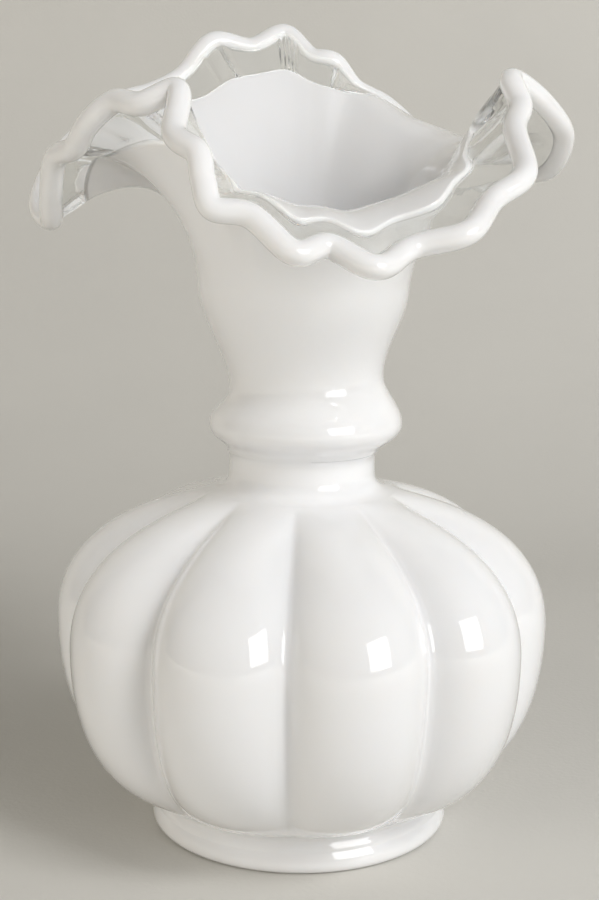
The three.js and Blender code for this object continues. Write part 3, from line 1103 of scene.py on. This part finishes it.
    def build(self, finish: bpy.types.Material) -> None:
        """Makes the piece."""
        u = all_round(self.columns)
        edge = self.mouth.ruffled.at(u)
        azimuth = np.arctan2(edge[:, 1], edge[:, 0])
        outer = lathe_sections(self.outside(np.cos(azimuth)), azimuth)
        share = (outer[..., 2] - self.bowl.seam) / (self.mouth.throat - self.bowl.seam)
        outer[..., 0] += self.lean * np.sin(math.pi * np.clip(share, 0, 1) ** self.lean_place)
        inner = lathe_sections(self.inside(), azimuth)
        body = self.white_end(u, self.tip)[:, None] * np.linspace(0, 1, self.mouth_steps)[None, 1:]
        turn = np.linspace(0, math.pi / 2, self.tip_steps)[1:]
        tip = np.stack([self.white_end(u, self.tip * (1 - math.sin(a))) for a in turn], 1)
        t = np.concatenate([body, tip], 1)
        fullness = np.concatenate([np.ones(body.shape[1]), np.cos(turn[:-1]), [self.tip_end]])
        middle = self.mouth.at(u[:, None], t)
        half = self.mouth.normal(u[:, None], t) * (self.mouth.wall / 2 * fullness)[None, :, None]
        sections = np.concatenate([outer, middle + half, (middle - half)[:, ::-1], inner], 1)
        bm = bmesh.new()
        ring_grid(bm, sections, True)
        piece = finished("ruffled_trumpet_glass", bm, finish, BLOWN)
        settle(piece, Slot.MILK, "ruffled_trumpet")


@dataclass
class Edge:
    """The round white edge.

    Attributes:
        trumpet: The trumpet whose mouth it runs along.
        radius: Its radius.
        columns: How many columns of faces it has.
        sides: How many sides it has across.
    """

    trumpet: Trumpet
    radius: float = 2.68 * MM
    columns: int = 16 * len(RIM_KNOTS)
    sides: int = 28

    def build(self, finish: bpy.types.Material) -> None:
        """Makes the piece."""
        mouth = self.trumpet.mouth
        u = all_round(self.columns)
        centre = mouth.rim.at(u)
        normal, past = mouth.rim_frame(u)
        angle = all_round(self.sides, 2 * math.pi)[None, :, None]
        around = normal[:, None] * np.cos(angle) + past[:, None] * np.sin(angle)
        bm = bmesh.new()
        ring_grid(bm, centre[:, None] + self.radius * around, True)
        piece = finished("white_edge_glass", bm, finish, BLOWN, DRAWN)
        settle(piece, Slot.EDGE, "white_edge")


@dataclass
class Band:
    """The clear band between the white glass and the white edge.

    Attributes:
        edge: The edge it carries.
        wall: Its thickness at the white edge.
        inset: How far its skin lies inside the white glass where it begins.
        inset_share: The share of its width over which it comes out to the skin.
        lap: The share of its width that lies inside the white glass.
        sink: How deep it ends in the edge, as a share of the edge's radius.
        swell: How much its thickness swells between the crimps.
        marks: The places of the crimping tool's marks, in knots, their heights in
            millimetres, and their widths and slants in knots.
        columns_per_knot: How many columns of faces it has to a knot of the rim.
        steps: How many steps it has across.
    """

    edge: Edge
    wall: float = 2.8 * MM
    inset: float = 0.04 * MM
    inset_share: float = 0.1
    lap: float = 0.25
    sink: float = 0.6
    swell: float = 0.3 * MM
    marks: tuple[tuple[float, float, float, float], ...] = (
        (10.62, 0.8, 0.05, 0.0),
        (10.77, 0.9, 0.05, 0.0),
        (10.92, 0.9, 0.05, 0.0),
        (11.07, 0.8, 0.05, 0.0),
        (11.22, 0.7, 0.05, 0.0),
        (12.8, 1.0, 0.1, 0.3),
        (13.35, 0.6, 0.06, 0.1),
        (8.9, 0.6, 0.06, 0.0),
        (41.2, -0.9, 0.1, 0.0),
        (42.1, 0.6, 0.07, 0.0),
    )
    columns_per_knot: int = 40
    steps: int = 16

    def tool_marks(self, u: np.ndarray, share: np.ndarray) -> np.ndarray:
        """Gives the height of the tool marks.

        Args:
            u: Places round the rim, as a column.
            share: Places across the band, as a row.

        Returns:
            The heights, by place round the rim and by place across.
        """
        place = u * len(RIM_KNOTS)
        height = 0 * place * share
        for centre, rise, width, slant in self.marks:
            away = place - centre - slant * (share - 0.5)
            height = height + rise * MM * np.exp(-((away / width) ** 2))
        return height * np.sin(math.pi * share)

    def build(self, finish: bpy.types.Material) -> None:
        """Makes the piece."""
        trumpet = self.edge.trumpet
        mouth = trumpet.mouth
        u = all_round(len(RIM_KNOTS) * self.columns_per_knot)
        begin = trumpet.white_end(u, trumpet.tip)
        end = trumpet.white_end(u)
        normal, past = mouth.rim_frame(u)
        stop = mouth.rim.at(u) - past * (self.sink * self.edge.radius)
        share = np.linspace(0, 1, self.steps)[None, :]
        lap = np.clip(share / self.lap, 0, 1)
        t = begin[:, None] + (end - begin)[:, None] * lap
        over = np.clip((share - self.lap) / (1 - self.lap), 0, 1)[..., None]
        seam = mouth.at(u[:, None], t)
        middle = seam * (1 - over) + stop[:, None] * over
        out = unit(mouth.normal(u[:, None], t) * (1 - over) + normal[:, None] * over)
        crimps = np.cos(2 * math.pi * u * len(RIM_KNOTS) / 2)[:, None]
        full = np.sin(math.pi * share) * (self.swell / 2 * crimps)
        half = mouth.wall / 2 * (1 - share) + self.wall / 2 * share + full
        half = half - self.inset * np.clip(1 - share / self.inset_share, 0, 1)
        marks = self.tool_marks(u[:, None], share)
        inner = middle - out * (half + marks)[..., None]
        sections = np.concatenate([middle + out * half[..., None], inner[:, ::-1]], 1)
        bm = bmesh.new()
        ring_grid(bm, sections, True)
        settle(finished("clear_band_glass", bm, finish, BLOWN), Slot.CLEAR, "clear_band")


# The studio


@dataclass(frozen=True)
class Lamp:
    """A soft lamp that looks at the middle of the vase.

    Attributes:
        name: Its name.
        place: Where it stands.
        size: Its width and height.
        power: Its power in watts.
        tint: Its colour.
        mirrored: Whether the glass shows its reflection.
    """

    name: str
    place: Place
    size: tuple[float, float]
    power: float
    tint: Colour = WHITE
    mirrored: bool = False

    def build(self) -> None:
        """Adds the lamp to the scene."""
        data = bpy.data.lights.new(self.name, "AREA")
        data.shape = "RECTANGLE"
        data.size, data.size_y = self.size
        data.energy = self.power
        data.color = self.tint
        lamp = bpy.data.objects.new(self.name, data)
        lamp.location = self.place
        aim = Vector((0, 0, 0.09)) - lamp.location
        lamp.rotation_euler = aim.to_track_quat("-Z", "Y").to_euler()
        lamp.visible_glossy = self.mirrored
        bpy.context.scene.collection.objects.link(lamp)


@dataclass(frozen=True)
class Studio:
    """The paper sweep, the lamps and the camera.

    Attributes:
        eye: Where the camera stands.
        pitch: How far it looks down.
        roll: How far it is turned.
        focal_rows: The focal length in rows of the picture.
        rows: The height of the picture.
        centre_shift: How far the lens's axis lies right of the picture's middle, in rows.
        lamps: The lamps. The window's reflection is the one that shows in the photo.
    """

    eye: Place = (0, -361.3 * MM, 159.8 * MM)
    pitch: float = math.radians(10.4)
    roll: float = math.radians(0.5)
    focal_rows: float = 1504
    rows: int = 900
    centre_shift: float = 2.5
    lamps: tuple[Lamp, ...] = (
        Lamp("window", (0.70, -0.78, 0.37), (0.58, 0.52), 3.8, mirrored=True),
        Lamp("key", (0.79, -0.68, 1.04), (0.5, 0.5), 8.9),
        Lamp("right", (1.15, -0.15, 0.35), (0.6, 0.6), 2.4),
        Lamp("left_wall", (-0.8, -0.85, 0.55), (0.7, 0.6), 2.8, WARM),
        Lamp("left_table", (-1.2, -0.36, 0.22), (0.9, 0.4), 4.1, WARM),
    )

    def camera(self) -> None:
        """Sets up the camera."""
        data = bpy.data.cameras.new("camera")
        data.sensor_fit = "VERTICAL"
        data.sensor_height = 24
        data.lens = self.focal_rows / self.rows * data.sensor_height
        data.shift_x = -self.centre_shift / self.rows
        data.clip_start = 0.01
        camera = bpy.data.objects.new("camera", data)
        look = Matrix.Rotation(math.pi / 2 - self.pitch, 4, "X")
        roll = Matrix.Rotation(self.roll, 4, "Z")
        camera.matrix_world = Matrix.Translation(self.eye) @ look @ roll
        bpy.context.scene.collection.objects.link(camera)
        bpy.context.scene.camera = camera

    def sweep(self, finish: bpy.types.Material) -> None:
        """Lays the paper: a floor that curves up into a backdrop."""
        bend, depth, height, width, front = 0.34, 0.24, 1.9, 2.4, -1.6
        turn = np.linspace(-math.pi / 2, 0, 24)
        curve = [(depth + bend * math.cos(a), bend + bend * math.sin(a)) for a in turn]
        line = [(front, 0.0), (0.0, 0.0), *curve, (depth + bend, height)]
        bm = bmesh.new()
        rows = [[bm.verts.new((x, y, z)) for y, z in line] for x in np.linspace(-width, width, 9)]
        for row, beside in zip(rows, rows[1:]):
            for k in range(len(line) - 1):
                bm.faces.new((row[k], beside[k], beside[k + 1], row[k + 1]))
        finished("paper_sweep", bm, finish)

    def world(self, colour: Colour, strength: float) -> None:
        """Fills the room with an even light."""
        world = bpy.data.worlds.new("room")
        world.use_nodes = True
        background = world.node_tree.nodes["Background"]
        background.inputs["Color"].default_value = (*colour, 1)
        background.inputs["Strength"].default_value = strength
        bpy.context.scene.world = world

    def build(self) -> None:
        """Sets the studio up."""
        self.camera()
        self.sweep(Paper("pale_grey_paper", (0.675, 0.66, 0.62)).build())
        for lamp in self.lamps:
            lamp.build()
        self.world(WHITE, 0.08)
        bpy.context.scene.view_settings.view_transform = "Standard"


def main() -> None:
    """Builds the vase and the studio."""
    logging.basicConfig(level=logging.INFO, format="%(name)s: %(message)s")
    # Without this, noise_vector starts from the clock and each run's glass is another.
    noise.seed_set(SEED)
    milk = MilkGlass("milk_glass").build()
    foot = Foot()
    bowl = Bowl(foot)
    trumpet = Trumpet(bowl)
    edge = Edge(trumpet)
    foot.build(milk)
    bowl.build(milk)
    trumpet.build(milk)
    # The edge's whiter body is painted light: it is a lightened copy of the milk glass that stands
    # in for the light the round bead catches.
    edge_painted_lighter = MilkGlass("white_edge_glass", (0.94, 0.94, 0.945), cloud_scale=60, ripple=0.0001)
    edge.build(edge_painted_lighter.build())
    Band(edge).build(ClearGlass("clear_glass").build())
    Studio().build()


if __name__ == "__main__":
    main()
